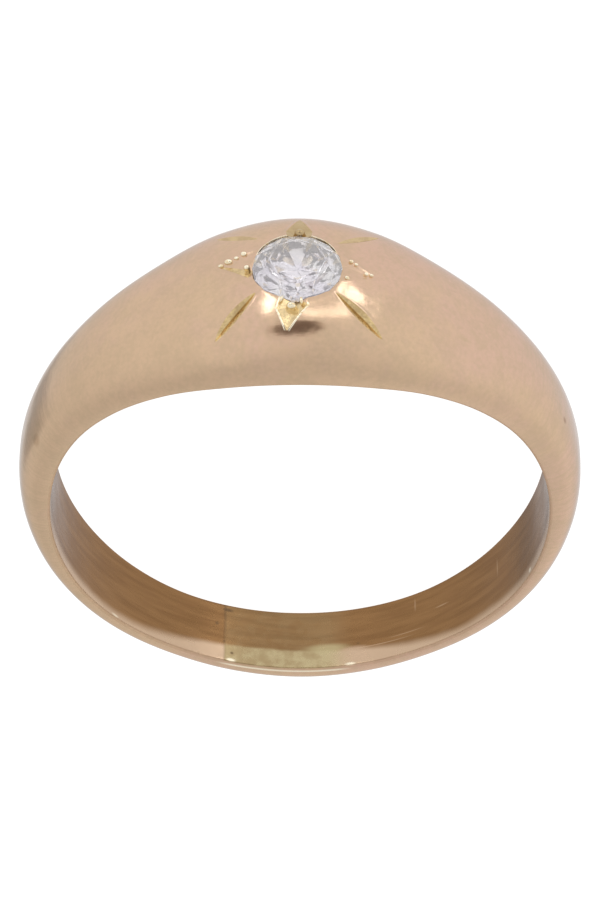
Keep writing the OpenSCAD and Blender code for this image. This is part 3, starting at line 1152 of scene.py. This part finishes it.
def surroundings():
    """A white tent with a brighter front, a shaded side, a dark corner, an opening and a lamp."""
    world = bpy.data.worlds.new("tent")
    bpy.context.scene.world = world
    world.use_nodes = True
    g = Graph(world.node_tree)
    background = world.node_tree.nodes["Background"]
    direction = world.node_tree.nodes.new("ShaderNodeTexCoord").outputs["Generated"]
    x, y, z = g.split(direction)
    right = g.math("ARCTAN2", -x, -y) * DEGREES
    up = g.math("ARCSINE", z) * DEGREES
    strength = g.ramp(z, 0.0, 1.0, LEVEL, OVERHEAD, linear=True)
    strength = strength * g.ramp(g.dot(direction, SHADED_SIDE), 0.15, 1.0, 1.0, SHADED)
    strength = strength + g.ramp(about(g, right, up, *BRIGHTER_FRONT), 1.5, 0.3, at_high=FRONT_ADDS)
    corner = g.ramp(about(g, right, up, *DARK_CORNER), 1.3, 0.6)
    strength = strength * (1.0 - corner * CORNER_TAKES)
    opening = g.ramp(about(g, right, up, *OPENING), 1.2, 0.8)
    strength = strength * (1.0 - opening * OPENING_TAKES)
    g.put(background.inputs["Color"], g.mix(opening, WHITE, WARM))
    # The lamp is a band along the arch's upper right, with a brighter lobe at each end
    from_arch = abs(about(g, right, up, *LAMP_ARCH) - 1.0)
    band = g.ramp(from_arch, 0.24, 0.08) * (g.ramp(up, -22.0, -14.0) * g.ramp(right, 0.0, 7.0))
    right_lobe = g.ramp(about(g, right, up, *LAMP_RIGHT), 1.3, 0.6)
    left_lobe = g.ramp(about(g, right, up, *LAMP_LEFT), 1.3, 0.7)
    strength = strength + band + g.math("MAXIMUM", left_lobe, right_lobe) * LOBES_ADD
    g.put(background.inputs["Strength"], strength)


def camera():
    """Looks at the middle of the picture, with the crown at the picture's top."""
    slope = math.radians(VIEW_FROM_AXIS)
    yaw = math.radians(VIEW_YAW)
    roll = math.radians(VIEW_ROLL)
    # Upright ring: photo right is -X, the crown is towards -Y and the viewer up the finger, +Z
    towards = Vector((-math.sin(yaw) * math.cos(slope), -math.sin(slope), math.cos(yaw) * math.cos(slope)))
    towards.normalize()
    crown = Vector((0, -1, 0))
    up = (crown - towards * crown.dot(towards)).normalized()
    right = up.cross(towards)
    right, up = (right * math.cos(roll) + up * math.sin(roll),
                 up * math.cos(roll) - right * math.sin(roll))
    offset_x = (PICTURE_PX[0] / 2 - CENTRE_PX[0]) / PIXELS_PER_MM
    offset_y = (CENTRE_PX[1] - PICTURE_PX[1] / 2) / PIXELS_PER_MM
    place = towards * VIEW_DISTANCE
    aim = right * offset_x + up * offset_y
    back = (place - aim).normalized()
    right = (right - back * right.dot(back)).normalized()
    up = back.cross(right)
    data = bpy.data.cameras.new("camera")
    data.sensor_fit = "VERTICAL"
    data.sensor_height = SENSOR_MM
    data.lens = PIXELS_PER_MM * VIEW_DISTANCE / PICTURE_PX[1] * data.sensor_height
    data.clip_start = CLIP_START
    obj = bpy.data.objects.new("camera", data)
    pose = Matrix((right, up, back)).transposed().to_4x4()
    pose.translation = place
    loc, rot, _ = (LAID @ pose).decompose()
    obj.matrix_world = Matrix.LocRotScale(loc, rot, None)
    bpy.context.scene.collection.objects.link(obj)
    bpy.context.scene.camera = obj


# Materials of the gold, in the order of its finishes
GOLD = [band_gold(), cut_gold(), bright_gold()]

band = ring_gold()
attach(band, "root")
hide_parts("ring_band")

stone = frame["nodes"]["stone"]
stone.data.materials.clear()
stone.data.materials.append(stone_crystal())

floor()
surroundings()
camera()
bpy.context.scene.view_settings.view_transform = "Standard"
